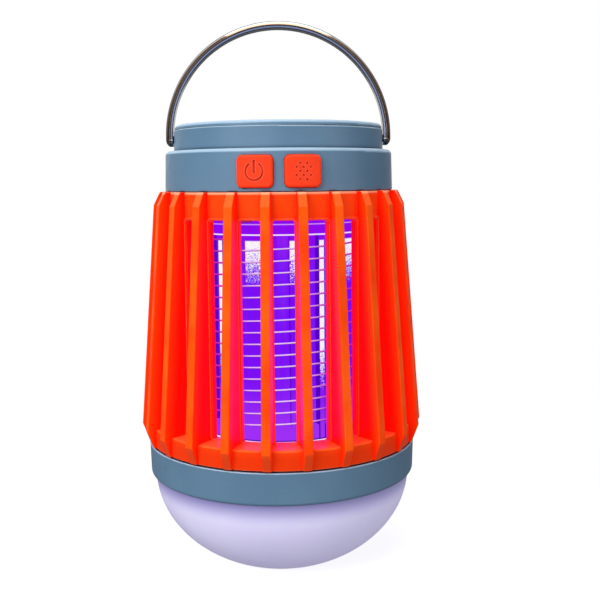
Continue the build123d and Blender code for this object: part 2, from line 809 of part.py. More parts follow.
def make_grid_wire(turn):
    """One of two interleaved helical wires; every other line of the grid belongs to each."""
    with BuildPart() as coil:
        with BuildLine() as path:
            Helix(
                pitch=2 * WIRE_STEP, height=WIRE_TOP_Z - WIRE_LOW_Z, radius=GRID_R,
                center=(0, 0, WIRE_LOW_Z),
            )
        with BuildSketch(Plane(origin=path.line @ 0, z_dir=path.line % 0)):
            Circle(WIRE_R)
        sweep(path=path.line, is_frenet=True)
    with BuildPart() as wire:
        with PolarLocations(0, 1, start_angle=turn):
            add(coil.part)
    return wire


def make_grid_terminals():
    """Brass straps on the frame's plate, each folded down over its edge onto a wire's end."""
    top = FRAME_PLATE_Z + FRAME_PLATE_T
    foot = WIRE_TOP_Z + WIRE_R + 0.03
    with BuildPart() as strap:
        with BuildSketch(Plane.XY.offset(top)):
            with Locations((22.3, 0)):
                Rectangle(9.6, 3.0)
        extrude(amount=0.5)
        with BuildSketch(Plane.XY.offset(foot)):
            with Locations((COLLAR_R + 0.5, 0)):
                Rectangle(0.9, 3.0)
        extrude(amount=top + 0.5 - foot)
    with BuildPart() as group:
        with PolarLocations(0, 2, start_angle=LEAD_ANGLE):
            add(strap.part)
    return group


def make_light_tube():
    low = WIRE_LOW_Z - FOOT_COLLAR
    return ring(TUBE_R - TUBE_WALL, TUBE_R, low, FRAME_PLATE_Z - 0.1)


def make_led_post():
    low = DECK_Z + 1.4
    with BuildPart() as post:
        with BuildSketch(Plane.XY.offset(low)):
            RectangleRounded(LED_POST, LED_POST, 0.8)
            RectangleRounded(LED_POST - 3.2, LED_POST - 3.2, 0.4, mode=Mode.SUBTRACT)
        extrude(amount=FRAME_PLATE_Z - low)
    return post


def make_uv_strips():
    with BuildPart() as strips:
        for azimuth in (0, 90, 180, 270):
            with BuildSketch(radial_plane(azimuth, LED_POST / 2, (WIRE_TOP_Z + WIRE_LOW_Z) / 2)):
                Rectangle(11.0, 54.0)
            extrude(amount=1.0)
    return strips


def make_uv_leds():
    with BuildPart() as leds:
        for azimuth in (0, 90, 180, 270):
            plane = radial_plane(azimuth, LED_POST / 2 + 1.0, (WIRE_TOP_Z + WIRE_LOW_Z) / 2)
            with BuildSketch(plane):
                with GridLocations(1, 13, 1, 4):
                    RectangleRounded(5.0, 5.0, 0.3)
            extrude(amount=1.2)
    return leds


def make_lamp_leads():
    """Two leads from the control board, round the pan and down the post to the lamp board."""
    gap_z = (PAN_FLOOR_Z + FRAME_PLATE_Z + FRAME_PLATE_T) / 2 + 0.1
    board_z = CAP_Z + 3.4
    with BuildPart() as leads:
        for x in (-1.0, 1.0):
            with BuildLine() as path:
                FilletPolyline(
                    (x, BOARD_Y + BOARD_T, board_z), (x, -14.0, board_z), (x, -14.0, gap_z),
                    (x, 0, gap_z), (x, 0, LAMP_BOARD_Z), radius=1.0,
                )
            with BuildSketch(Plane(origin=path.line @ 0, z_dir=path.line % 0)):
                Circle(0.55)
            sweep(path=path.line)
    return leads


# ---- floor, lamp ring and dome ----
def make_catch_tray():
    with BuildPart() as tray:
        with BuildSketch(Plane.XY.offset(DECK_Z)):
            Circle(39.6)
        extrude(amount=1.4)
        with BuildSketch(Plane.XY.offset(DECK_Z + 1.4)):
            Circle(39.0)
            Circle(37.9, mode=Mode.SUBTRACT)
            Circle(TUBE_R + 3.0)
            Circle(TUBE_R - 1.0, mode=Mode.SUBTRACT)
        extrude(amount=WIRE_LOW_Z - FOOT_COLLAR - DECK_Z - 1.4)
        with BuildSketch(Plane.XY.offset(DECK_Z + 1.4)):
            Rectangle(LED_POST - 3.6, LED_POST - 3.6)
        extrude(amount=3)
        with BuildSketch(Plane.XY.offset(DECK_Z - 1)):
            Circle(3.2)
            with Locations(*BASE_SCREWS):
                Circle(3.7)
        extrude(amount=12, mode=Mode.SUBTRACT)
    return tray


def make_lamp_ring():
    low = RING_Z
    deck_low = DECK_Z - DECK_T
    bore = DOME_R + 0.15
    with BuildPart() as lamp_ring:
        with BuildSketch(Plane.XZ):
            with BuildLine():
                Polyline(
                    (0, deck_low), (39.8, deck_low), (39.8, SHOULDER_Z), (bore, SHOULDER_Z),
                    (bore, low), (RING_R - 0.25, low), (RING_R, DECK_Z), (0, DECK_Z), close=True,
                )
            make_face()
        revolve(axis=Axis.Z)
        fillet(rim(lamp_ring, RING_R - 0.25, low), 1.1)
        fillet(rim(lamp_ring, RING_R, DECK_Z), 0.4)
        # bosses for the lamp board
        with BuildSketch(Plane.XY.offset(deck_low)):
            with Locations(*LAMP_SCREWS):
                Circle(2.6)
        extrude(amount=-1.2)
        with BuildSketch(Plane.XY.offset(deck_low - 3)):
            Circle(4.0)
            with Locations(*BASE_SCREWS):
                Circle(1.2 + SCREW_SLOP)
        extrude(amount=DECK_T + 4, mode=Mode.SUBTRACT)
        with BuildSketch(Plane.XY.offset(deck_low - 3)):
            with Locations(*LAMP_SCREWS):
                Circle(0.92)
        extrude(amount=4.4, mode=Mode.SUBTRACT)
    return lamp_ring


def make_lamp_board():
    with BuildPart() as board:
        with BuildSketch(Plane.XY.offset(LAMP_BOARD_Z)):
            Circle(34.0)
            with Locations(*LAMP_SCREWS):
                Circle(0.9 + SCREW_SLOP, mode=Mode.SUBTRACT)
        extrude(amount=-BOARD_T)
    return board


def make_lamp_leds():
    with BuildPart() as leds:
        with BuildSketch(Plane.XY.offset(LAMP_BOARD_Z - BOARD_T)):
            with PolarLocations(10.0, 6):
                RectangleRounded(3.5, 3.5, 0.3)
            with PolarLocations(21.0, 12):
                RectangleRounded(3.5, 3.5, 0.3)
        extrude(amount=-0.9)
    return leds


def make_dome():
    inner_r = DOME_R - DOME_WALL
    inner_drop = DOME_DROP - DOME_WALL
    foot_inner = inner_r * sqrt(1 - ((RING_Z - DOME_WALL) / inner_drop) ** 2)
    outer_sweep = degrees(acos(FOOT_R / DOME_R))
    inner_sweep = degrees(acos(foot_inner / inner_r))
    with BuildPart() as dome:
        with BuildSketch(Plane.XZ):
            with BuildLine():
                Line((0, 0), (FOOT_R, 0))
                EllipticalCenterArc(
                    (0, RING_Z), DOME_R, DOME_DROP, start_angle=-outer_sweep, arc_size=outer_sweep,
                )
                Polyline((DOME_R, RING_Z), (DOME_R, NECK_Z), (inner_r, NECK_Z), (inner_r, RING_Z))
                EllipticalCenterArc(
                    (0, RING_Z), inner_r, inner_drop, start_angle=-inner_sweep, arc_size=inner_sweep,
                )
                Polyline((foot_inner, DOME_WALL), (0, DOME_WALL), (0, 0))
            make_face()
        revolve(axis=Axis.Z)
        fillet(rim(dome, FOOT_R, 0), 1.0)
    return dome


def make_dome_seal():
    return ring(39.9, DOME_R - 0.1, NECK_Z, NECK_Z + 0.8)


# ---- every piece, by the name it is known by ----
pieces = {
    "cap_shell": make_cap_shell(),
    "top_cover": make_top_cover(),
    "cover_seal": make_cover_seal(),
    "cover_screws": screws(COVER_SCREWS, FLANGE_Z - FLANGE_T, 1.9, 1.3, 0.95, 4.0),
    "bail_handle": make_bail_handle(),
    "power_button": make_button(-1, power_mark()),
    "lamp_button": make_button(1, dimple_mark()),
    "power_plunger": make_plunger(-1),
    "lamp_plunger": make_plunger(1),
    "tact_switches": make_tact_switches(),
    "control_board": make_control_board(),
    "control_chips": make_control_chips(),
    "charge_board": make_charge_board(),
    "charge_board_screws": screws(CHARGE_SCREWS, PORT_Z - 1.6, 1.7, 1.1, 0.9, 4.0, up=False),
    "usb_socket": make_usb_socket(),
    "hv_module": make_hv_module(),
    "hv_leads": make_hv_leads(),
    "battery": make_battery(),
    "battery_contacts": make_battery_contacts(),
    "usb_cover": make_usb_cover(),
    "usb_cover_pin": make_usb_cover_pin(),
    "cap_base": make_cap_base(),
    "case_screws": screws(CASE_SCREWS, CAP_Z - 4, 2.3, 1.6, 1.2, 12.0),
    "cage": make_cage(),
    "grid_frame": make_grid_frame(),
    "grid_wire_live": make_grid_wire(LEAD_ANGLE),
    "grid_wire_return": make_grid_wire(LEAD_ANGLE + 180),
    "grid_terminals": make_grid_terminals(),
    "grid_screws": screws(GRID_SCREWS, FRAME_PLATE_Z, 1.9, 1.3, 1.0, 6.7),
    "light_tube": make_light_tube(),
    "led_post": make_led_post(),
    "uv_strips": make_uv_strips(),
    "uv_leds": make_uv_leds(),
    "lamp_leads": make_lamp_leads(),
    "catch_tray": make_catch_tray(),
    "base_screws": screws(BASE_SCREWS, DECK_Z - DECK_T, 2.3, 1.6, 1.2, 6.6),
    "lamp_ring": make_lamp_ring(),
    "lamp_board": make_lamp_board(),
    "lamp_board_screws": screws(LAMP_SCREWS, LAMP_BOARD_Z - BOARD_T, 1.7, 1.0, 0.9, 3.6),
    "lamp_leds": make_lamp_leds(),
    "dome_seal": make_dome_seal(),
    "dome": make_dome(),
}

os.makedirs("parts", exist_ok=True)
for name, piece in pieces.items():
    piece.part.label = name
    export_step(piece.part, f"parts/{name}.step")
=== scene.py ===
"""Looks of the rechargeable bug zapper lantern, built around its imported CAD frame.

Metres, +Z up, the buttons face -Y. Heights and reaches on the object come from the boxes of the
frame's nodes, plus short distances written in millimetres.
"""

import json
import math

import bpy
from mathutils import Matrix, Vector


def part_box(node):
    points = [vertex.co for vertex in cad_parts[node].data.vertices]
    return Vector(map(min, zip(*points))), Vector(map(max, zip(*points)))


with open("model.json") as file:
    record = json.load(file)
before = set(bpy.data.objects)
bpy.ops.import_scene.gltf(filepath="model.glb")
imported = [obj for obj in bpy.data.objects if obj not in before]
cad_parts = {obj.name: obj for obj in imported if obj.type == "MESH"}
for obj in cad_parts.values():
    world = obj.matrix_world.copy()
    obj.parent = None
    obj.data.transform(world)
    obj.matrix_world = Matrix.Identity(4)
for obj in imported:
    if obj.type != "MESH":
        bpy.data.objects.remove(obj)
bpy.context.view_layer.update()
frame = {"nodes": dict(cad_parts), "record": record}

MM = 0.001

# ---- places read from the frame ----
CAGE_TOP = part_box("cage")[1].z
CAGE_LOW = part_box("cage")[0].z
RING_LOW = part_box("lamp_ring")[0].z
WIRE_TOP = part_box("grid_wire_live")[1].z
WIRE_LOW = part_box("grid_wire_live")[0].z
HANDLE_LOW, HANDLE_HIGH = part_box("bail_handle")

# ---- the ribs' front edges, which lean in from their feet to their heads ----
RIB_FOOT = CAGE_LOW + 4.6 * MM
RIB_HEAD = CAGE_TOP - 4.1 * MM
RIB_FOOT_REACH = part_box("cage")[1].x
RIB_HEAD_REACH = RIB_FOOT_REACH - 5.4 * MM

# ---- the grid frame: groups of posts between two collars, under a plate; turns in degrees ----
FOOT_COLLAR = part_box("grid_frame")[0].z
HEAD_COLLAR = WIRE_TOP + 0.82 * MM
PLATE_RIM = CAGE_TOP - 9.75 * MM
POST_TOP = CAGE_TOP - 14.5 * MM
SLIM_POST_AZIMUTH = 28.5
POST_PERIOD = 72.0

# ---- the handle's strap: its arc's centre and the radius of its flat inner face ----
STRAP_CENTRE_Z = HANDLE_HIGH.z - HANDLE_HIGH.x
STRAP_FLAT = HANDLE_HIGH.x - 2.45 * MM

# ---- rays per point for the nodes that probe a point's surroundings ----
PROBE_RAYS = 6

# ---- floor: its size, and where it starts and ends fading into the backdrop ----
FLOOR_RADIUS = 6.0
FADE_START = 0.05
FADE_END = 0.16

# ---- camera: close, level with the cage's top and tilted down ----
CAMERA_DISTANCE = 304.1 * MM
CAMERA_RISE = 3.25 * MM
CAMERA_YAW = math.radians(1.20)
CAMERA_PITCH = math.radians(7.23)
CAMERA_ROLL = math.radians(0.53)
LENS_MM = 56.62
SENSOR_MM = 36.0

WHITE = (1, 1, 1, 1)


def srgb(red, green, blue):
    """A screen colour, 0 to 255 each, as the linear colour that Blender works in."""
    def linear(value):
        value /= 255
        return value / 12.92 if value <= 0.04045 else ((value + 0.055) / 1.055) ** 2.4

    return (linear(red), linear(green), linear(blue), 1.0)


class Graph:
    """A node tree with short calls for the nodes that the materials here are made of."""

    def __init__(self, owner):
        owner.use_nodes = True
        self.tree = owner.node_tree
        self.tree.nodes.clear()

    def node(self, kind, inputs=None, **settings):
        made = self.tree.nodes.new(kind)
        for key, value in settings.items():
            setattr(made, key, value)
        for key, value in (inputs or {}).items():
            self.feed(made.inputs[key], value)
        return made

    def feed(self, socket, value):
        if isinstance(value, bpy.types.NodeSocket):
            self.tree.links.new(value, socket)
        elif value is not None:
            socket.default_value = value

    def math(self, operation, a, b=None, c=None):
        made = self.node("ShaderNodeMath", operation=operation)
        for socket, value in zip(made.inputs, (a, b, c)):
            self.feed(socket, value)
        return made.outputs[0]

    def span(self, value, low, high, out_low=0.0, out_high=1.0, curve="SMOOTHSTEP"):
        """value taken from low..high to out_low..out_high and clamped, smoothly unless curve is LINEAR."""
        made = self.node("ShaderNodeMapRange", {
            "Value": value, "From Min": low, "From Max": high, "To Min": out_low, "To Max": out_high,
        }, interpolation_type=curve)
        return made.outputs["Result"]

    def noise(self, scale, detail, vector=None, roughness=0.5):
        made = self.node("ShaderNodeTexNoise", {
            "Vector": vector or self.place(), "Scale": scale, "Detail": detail, "Roughness": roughness,
        })
        return made.outputs["Fac"]

    def patches(self, scale):
        """Soft patches from 0 to 1, scale of them to the metre."""
        return self.span(self.noise(scale, 3), 0.3, 0.7)

    def uneven(self, scale, low, high):
        """A roughness that wanders between low and high."""
        return self.span(self.noise(scale, 4), 0.25, 0.75, low, high)

    def mix(self, share, a, b):
        """Colour a at share 0 and colour b at share 1."""
        made = self.node("ShaderNodeMix", data_type="RGBA")
        self.feed(made.inputs[0], share)
        self.feed(made.inputs[6], a)
        self.feed(made.inputs[7], b)
        return made.outputs[2]

    def place(self):
        return self.node("ShaderNodeTexCoord").outputs["Object"]

    def parts(self, vector):
        made = self.node("ShaderNodeSeparateXYZ", {"Vector": vector})
        return made.outputs[0], made.outputs[1], made.outputs[2]

    def joined(self, x, y, z):
        made = self.node("ShaderNodeCombineXYZ", {"X": x, "Y": y, "Z": z})
        return made.outputs[0]

    def length(self, a, b):
        """Length of the flat vector (a, b)."""
        squares = self.math("ADD", self.math("MULTIPLY", a, a), self.math("MULTIPLY", b, b))
        return self.math("SQRT", squares)

    def radius(self):
        """Distance from the lantern's axis."""
        x, y, _ = self.parts(self.place())
        return self.length(x, y)

    def height(self):
        return self.parts(self.place())[2]

    def azimuth(self):
        """Degrees round the axis from the front, growing to the right."""
        x, y, _ = self.parts(self.place())
        turn = self.math("ARCTAN2", x, self.math("MULTIPLY", y, -1))
        return self.math("MULTIPLY", turn, 180 / math.pi)

    def band(self, value, low, high, soft):
        """1 where value lies between low and high, falling to 0 over a soft edge."""
        rise = self.span(value, low - soft / 2, low + soft / 2)
        return self.math("MULTIPLY", rise, self.span(value, high + soft / 2, high - soft / 2))

    def bump(self, height, distance):
        return self.node("ShaderNodeBump", {"Height": height, "Distance": distance}).outputs["Normal"]

    def dot(self, a, b):
        made = self.node("ShaderNodeVectorMath", {0: a, 1: b}, operation="DOT_PRODUCT")
        return made.outputs["Value"]

    def edges(self, radius):
        """1 along sharp edges and 0 on open faces."""
        rounded = self.node("ShaderNodeBevel", {"Radius": radius}, samples=PROBE_RAYS).outputs[0]
        return self.span(self.dot(rounded, self.normal()), 0.985, 0.88)

    def normal(self):
        return self.node("ShaderNodeNewGeometry").outputs["Normal"]

    def outward(self):
        """1 where a face looks straight away from the axis, 0 along a radius, -1 towards the axis."""
        x, y, _ = self.parts(self.place())
        nx, ny, _ = self.parts(self.normal())
        along = self.math("ADD", self.math("MULTIPLY", x, nx), self.math("MULTIPLY", y, ny))
        return self.math("DIVIDE", along, self.radius())

    def up(self):
        """1 where a face looks straight up, -1 where it looks down."""
        return self.parts(self.normal())[2]

    def askew(self):
        """0 where a face looks at the camera, 1 where it is seen edge on."""
        return self.node("ShaderNodeLayerWeight", {"Blend": 0.5}).outputs["Facing"]

    def shelter(self, distance):
        """1 in corners and grooves and 0 in the open."""
        probe = self.node("ShaderNodeAmbientOcclusion", {"Distance": distance}, samples=PROBE_RAYS)
        return self.span(probe.outputs["AO"], 0.9, 0.45)

    def principled(self, **inputs):
        """A Principled shader. Underscores in the names stand for spaces."""
        named = {key.replace("_", " "): value for key, value in inputs.items()}
        return self.node("ShaderNodeBsdfPrincipled", named).outputs[0]

    def emission(self, colour, strength):
        return self.node("ShaderNodeEmission", {"Color": colour, "Strength": strength}).outputs[0]

    def either(self, share, a, b):
        """Shader a at share 0 and shader b at share 1."""
        return self.node("ShaderNodeMixShader", {0: share, 1: a, 2: b}).outputs[0]

    def surface(self, **inputs):
        """A Principled shader as the material's surface."""
        self.output(self.principled(**inputs))

    def output(self, shader):
        """Shader as the surface of a material, or as the light of a world."""
        is_world = isinstance(self.tree.id_data, bpy.types.World)
        self.node("ShaderNodeOutputWorld" if is_world else "ShaderNodeOutputMaterial", {"Surface": shader})


def material(name):
    made = bpy.data.materials.new(name)
    return made, Graph(made)


def varied(graph, colour, spread, scale):
    """A colour with soft lighter and darker patches."""
    dark = [channel * (1 - spread) for channel in colour[:3]] + [1.0]
    light = [min(1.0, channel * (1 + spread)) for channel in colour[:3]] + [1.0]
    return graph.mix(graph.patches(scale), dark, light)


def grain(graph, size, depth):
    """The fine pitted skin of a moulded or cast surface: size and depth in metres."""
    return graph.bump(graph.noise(1 / size, 3, roughness=0.6), depth)


def moulded(name, colour, rough=0.45, spread=0.05, grain_size=0.45 * MM, grain_depth=0.012 * MM):
    """Moulded plastic: patchy colour, uneven gloss and a fine grain."""
    made, g = material(name)
    g.surface(
        Base_Color=varied(g, colour, spread, 90),
        Roughness=g.uneven(240, rough - 0.06, rough + 0.08),
        Normal=grain(g, grain_size, grain_depth),
    )
    return made


def cap_plastic():
    """Blue-grey ABS with a satin spark-eroded texture, painted shade in its corners and grooves, and a
    painted highlight on its edges and on faces that curve upwards.
    """
    made, g = material("cap_plastic")
    speckle = g.noise(1 / (0.35 * MM), 3, roughness=0.7)
    tone = g.mix(g.patches(60), srgb(93, 129, 157), srgb(101, 136, 163))
    tone = g.mix(g.span(speckle, 0.35, 0.7, 0.0, 0.35), tone, srgb(112, 146, 172))
    # painted shade in corners and grooves
    tone = g.mix(g.shelter(1.5 * MM), tone, srgb(44, 62, 80))
    # a painted highlight on sharp edges and on faces that curve upwards
    up = g.up()
    rounded = g.math("MULTIPLY", g.span(up, 0.12, 0.5), g.span(up, 0.995, 0.93))
    pale = g.math("MAXIMUM", g.math("MULTIPLY", g.edges(0.35 * MM), 0.6), rounded)
    tone = g.mix(g.math("MULTIPLY", pale, 0.75), tone, srgb(178, 205, 226))
    g.surface(
        Base_Color=tone,
        Roughness=g.uneven(300, 0.36, 0.48),
        Normal=g.bump(speckle, 0.014 * MM),
        Specular_IOR_Level=0.35,
        Coat_Weight=0.10,
        Coat_Roughness=0.3,
    )
    return made


def cage_plastic():
    """Bright orange ABS with painted light: painted shade makes it redder and darker down the ribs' sides
    and in recesses, painted highlights pale its edges and upward faces, and a painted pink glow stands for
    the violet light soaking in.
    """
    made, g = material("cage_plastic")
    height = g.height()
    up = g.up()
    outward = g.outward()
    # depth: how far a point lies behind the ribs' front edges at its height
    edge = g.span(height, RIB_FOOT, RIB_HEAD, RIB_FOOT_REACH, RIB_HEAD_REACH, curve="LINEAR")
    depth = g.math("SUBTRACT", edge, g.radius())
    upright = g.span(g.math("ABSOLUTE", up), 0.8, 0.5)
    side = g.math("MULTIPLY", g.span(g.math("ABSOLUTE", outward), 0.75, 0.2), upright)
    # faces that look outwards, upwards and downwards: painted shade darkens them deeper in, under the
    # lintel and where they face down, they turn darker near the cage's foot, and a painted highlight pales
    # the faces that look up
    front = g.mix(g.span(depth, 0.3 * MM, 2.0 * MM), srgb(255, 98, 18), srgb(246, 70, 16))
    front = g.mix(g.patches(70), front, srgb(245, 66, 10))
    front = g.mix(g.span(height, CAGE_LOW + 6.0 * MM, CAGE_LOW + 4.0 * MM), front, srgb(228, 54, 12))
    lintel_shade = g.span(height, CAGE_TOP - 5.0 * MM, CAGE_TOP - 8.0 * MM, 0.0, 0.35)
    lintel_shade = g.math("MULTIPLY", lintel_shade, g.span(depth, 1.0 * MM, 3.0 * MM))
    front = g.mix(lintel_shade, front, srgb(226, 52, 14))
    front = g.mix(g.span(up, 0.15, 0.5), front, srgb(253, 100, 40))
    front = g.mix(g.span(up, 0.6, 0.9), front, srgb(253, 96, 44))
    front = g.mix(g.span(up, -0.15, -0.5), front, srgb(222, 76, 36))
    # the ribs' sides, redder and darker deeper in as painted shade, then painted shade in corners, a
    # painted highlight on edges and along the cage's top edge, and painted shade in the gap at the cage's
    # foot
    shaded_flank = g.mix(g.span(depth, -1.0 * MM, 4.5 * MM), srgb(252, 74, 10), srgb(238, 8, 0))
    tone = g.mix(side, front, shaded_flank)
    corner_shade = g.math("MULTIPLY", g.shelter(2.5 * MM), g.span(up, 0.6, 0.9, 1.0, 0.3))
    tone = g.mix(corner_shade, tone, srgb(214, 26, 2))
    rim = g.math("MULTIPLY", g.edges(0.25 * MM), g.math("SUBTRACT", 1.0, g.shelter(1.0 * MM)))
    tone = g.mix(g.math("MULTIPLY", rim, 0.75), tone, srgb(255, 166, 116))
    top_edge_highlight = g.span(height, CAGE_TOP - 0.9 * MM, CAGE_TOP - 0.3 * MM, 0.0, 0.8)
    tone = g.mix(g.math("MULTIPLY", top_edge_highlight, g.span(outward, 0.2, 0.6)), tone, srgb(255, 190, 150))
    tone = g.mix(g.span(height, CAGE_LOW + 0.55 * MM, CAGE_LOW + 0.35 * MM), tone, srgb(48, 12, 8))
    # pink glow beside the windows, strongest at mid height and only where a face is seen askew
    deep = g.span(depth, 0.0, 2.4 * MM)
    above_foot = g.span(height, CAGE_LOW + 4 * MM, CAGE_LOW + 24 * MM)
    below_head = g.span(height, CAGE_TOP - 6 * MM, CAGE_TOP - 20 * MM)
    askew = g.span(g.askew(), 0.5, 0.8)
    glow = g.math("MULTIPLY", g.math("MULTIPLY", deep, above_foot), g.math("MULTIPLY", below_head, askew))
    glow = g.math("MULTIPLY", glow, g.span(up, 0.2, 0.5, 1.0, 0.0))
    # a faint painted glow over the whole cage, redder on the ribs' sides, stands for light soaking through
    # the plastic
    painted_inner_glow = g.mix(side, (0.20, 0.012, 0.001, 1), (0.36, 0.002, 0.0, 1))
    g.surface(
        Base_Color=tone,
        Roughness=g.uneven(260, 0.36, 0.48),
        Normal=grain(g, 0.5 * MM, 0.010 * MM),
        Specular_IOR_Level=0.14,
        Specular_Tint=srgb(255, 150, 110),
        Emission_Color=g.mix(glow, painted_inner_glow, (0.46, 0.018, 0.070, 1)),
        Emission_Strength=1.0,
    )
    return made


def handle_steel():
    """Polished steel strap with soft marks drawn along its length, and painted reflections and painted
    dark lines in its colour.
    """
    made, g = material("handle_steel")
    x, y, z = g.parts(g.place())
    rise = g.math("SUBTRACT", z, STRAP_CENTRE_Z)
    reach = g.length(x, rise)
    turn = g.math("ARCTAN2", rise, x)
    fine = 900
    coarse = 1.5
    drawn = g.joined(g.math("MULTIPLY", reach, fine), g.math("MULTIPLY", y, fine),
                     g.math("MULTIPLY", turn, coarse))
    marks = g.noise(1.0, 3, drawn, 0.55)
    sideways = g.math("ABSOLUTE", g.parts(g.normal())[1])
    crown = g.mix(g.span(marks, 0.3, 0.7), srgb(190, 186, 182), srgb(246, 244, 242))
    # painted reflections: the strap's flanks are tinted browner than its crown, with a pale blue-white
    # strip by the inner face, a painted dark line along them and a painted dark inner edge
    tone = g.mix(g.span(sideways, 0.55, 0.85), crown, srgb(214, 176, 140))
    tone = g.mix(g.span(reach, STRAP_FLAT + 0.75 * MM, STRAP_FLAT + 0.65 * MM), tone, srgb(244, 246, 255))
    line = g.band(reach, STRAP_FLAT + 0.70 * MM, STRAP_FLAT + 0.95 * MM, 0.1 * MM)
    inner_edge_shade = g.span(reach, STRAP_FLAT + 0.30 * MM, STRAP_FLAT + 0.18 * MM)
    # painted shade darkens the lowest ends of the strap, by the cap
    foot = g.span(z, HANDLE_LOW.z + 5 * MM, HANDLE_LOW.z + 1 * MM, 0.0, 0.75)
    dark = g.math("MAXIMUM", g.math("MAXIMUM", line, inner_edge_shade), foot)
    # a painted dark outline where the strap is seen edge on
    dark = g.math("MAXIMUM", dark, g.span(g.askew(), 0.52, 0.70))
    g.surface(
        Base_Color=g.mix(dark, tone, srgb(60, 56, 62)),
        Metallic=1.0,
        Roughness=g.span(marks, 0.3, 0.7, 0.10, 0.18),
        Normal=g.bump(marks, 0.006 * MM),
    )
    return made


def button_rubber():
    """Soft orange silicone: matte and faintly dusty, with a painted highlight on its rounded edges,
    painted shade in its grooves and a faint painted glow.
    """
    made, g = material("button_rubber")
    tone = varied(g, srgb(250, 66, 32), 0.05, 300)
    # a painted highlight on the rounded edges, then painted shade in the grooves, darker on the left
    # button than on the right
    tone = g.mix(g.math("MULTIPLY", g.edges(0.5 * MM), 0.5), tone, srgb(255, 140, 108))
    groove_shade = g.mix(g.span(g.azimuth(), -1.0, 1.0), srgb(176, 26, 12), srgb(204, 44, 28))
    tone = g.mix(g.shelter(0.8 * MM), tone, groove_shade)
    g.surface(
        Base_Color=tone,
        Roughness=g.span(g.noise(500, 4), 0.3, 0.7, 0.5, 0.62),
        Normal=grain(g, 0.25 * MM, 0.006 * MM),
        Specular_IOR_Level=0.3,
        Specular_Tint=srgb(255, 170, 140),
        Sheen_Weight=0.08,
        Sheen_Roughness=0.4,
        Sheen_Tint=srgb(255, 170, 150),
        # a faint painted red glow
        Emission_Color=(0.15, 0.006, 0.002, 1),
        Emission_Strength=1.0,
    )
    return made


def dome_plastic():
    """Frosted lavender diffuser, satin outside, with a painted shadow under the ring and a painted glow.
    """
    made, g = material("dome_plastic")
    tone = g.mix(g.patches(40), srgb(220, 216, 242), srgb(228, 224, 248))
    # painted shadow of the ring on the dome just below it
    ring_shadow = g.span(g.height(), RING_LOW - 7 * MM, RING_LOW + 0.5 * MM)
    tone = g.mix(ring_shadow, tone, srgb(100, 96, 160))
    g.surface(
        Base_Color=tone,
        Roughness=g.span(g.noise(220, 4), 0.3, 0.7, 0.34, 0.44),
        Normal=grain(g, 0.3 * MM, 0.004 * MM),
        # a painted glow stands for light soaking through the diffuser, dimmer in the ring's painted shadow
        Emission_Color=g.mix(ring_shadow, (0.19, 0.175, 0.28, 1), (0.13, 0.12, 0.21, 1)),
        Emission_Strength=1.0,
        Subsurface_Weight=0.25,
        Subsurface_Radius=(2 * MM, 2 * MM, 3 * MM),
        Subsurface_Scale=1.0,
        Coat_Weight=0.15,
        Coat_Roughness=0.25,
    )
    return made


def violet_by_height(g):
    """Colour of the lit interior: reddest at the top, blue in the middle and paler low down."""
    height = g.height()
    lower_half = g.span(height, WIRE_LOW - 3 * MM, WIRE_LOW + 16 * MM)
    top_end = g.span(height, WIRE_TOP - 12 * MM, WIRE_TOP + 2 * MM)
    return g.mix(top_end, g.mix(lower_half, srgb(158, 48, 246), srgb(122, 10, 246)), srgb(142, 6, 240))


def lit(g, seen, cast, strength):
    """Emission that the camera sees as colour seen, and that lights its surroundings with colour cast."""
    path = g.node("ShaderNodeLightPath").outputs["Is Camera Ray"]
    power = g.math("ADD", g.math("MULTIPLY", path, 1 - strength), strength)
    return g.emission(g.mix(path, cast, seen), power)


def violet_skin(g, rough):
    """Pale plastic's own surface under the violet light."""
    pitted = grain(g, 0.5 * MM, 0.02 * MM)
    return g.principled(Base_Color=srgb(150, 90, 220), Roughness=rough, Normal=pitted)


def tube_plastic():
    """The clear tube's wall, filled with violet light, with faint upright streaks and a soft gloss."""
    made, g = material("tube_plastic")
    x, y, z = g.parts(g.place())
    fine = 500
    coarse = 60
    upright = g.joined(g.math("MULTIPLY", x, fine), g.math("MULTIPLY", y, fine),
                       g.math("MULTIPLY", z, coarse))
    streaks = g.noise(1.0, 3, upright)
    tone = violet_by_height(g)
    tone = g.mix(g.span(streaks, 0.35, 0.75, 0.0, 0.35), tone, srgb(142, 40, 248))
    glow = lit(g, tone, srgb(120, 20, 255), 3.0)
    gloss = g.node("ShaderNodeBsdfGlossy", {"Roughness": 0.15, "Color": (0.25, 0.2, 0.35, 1)})
    fresnel = g.node("ShaderNodeFresnel", {"IOR": 1.45, "Normal": g.bump(streaks, 0.03 * MM)})
    g.output(g.either(g.math("MULTIPLY", fresnel.outputs[0], 0.5), glow, gloss.outputs[0]))
    return made


